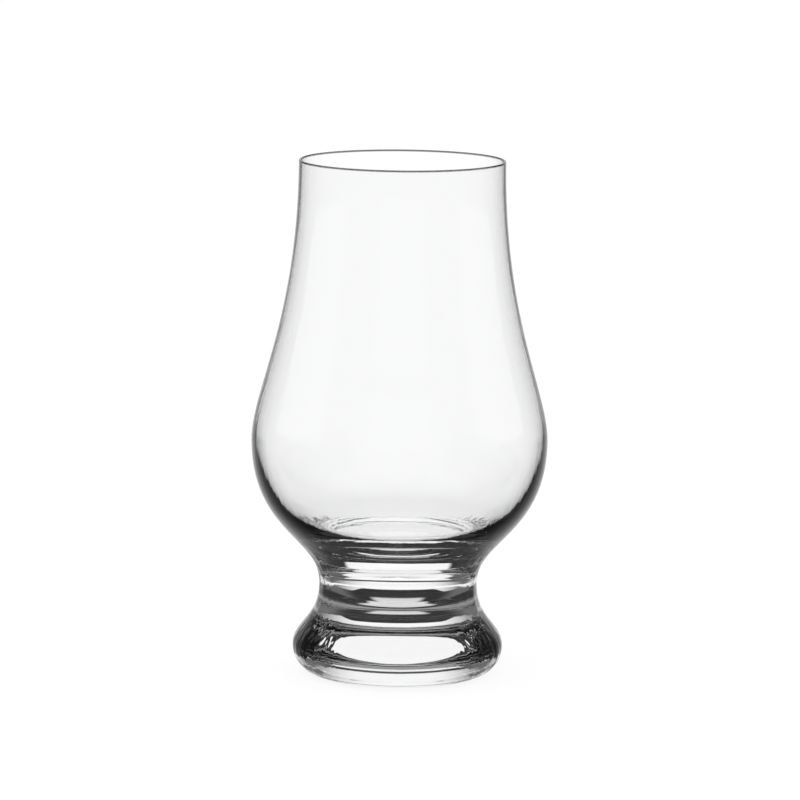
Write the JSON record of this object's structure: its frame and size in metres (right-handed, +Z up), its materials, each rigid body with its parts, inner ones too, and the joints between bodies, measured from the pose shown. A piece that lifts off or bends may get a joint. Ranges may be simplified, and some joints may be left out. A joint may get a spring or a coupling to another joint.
{
  "type": "nosing glass",
  "caption": "Clear nosing glass: a rounded thin bowl that narrows to a smaller mouth, fused to a short, solid, flared foot that stands flat.",
  "frame": {"origin": "on the glass's axis, at the level of the ring that stands on the table", "axes": "+Z up along the glass's axis, towards the mouth; X and Y are alike, because the glass is round"},
  "size_m": [0.0658, 0.0658, 0.115],
  "materials": {
    "bowl_glass": "polished",
    "foot_glass": "polished"
  },
  "bodies": {
    "root": {"bowl": "bowl_glass", "foot": "foot_glass"}
  },
  "joints": []
}
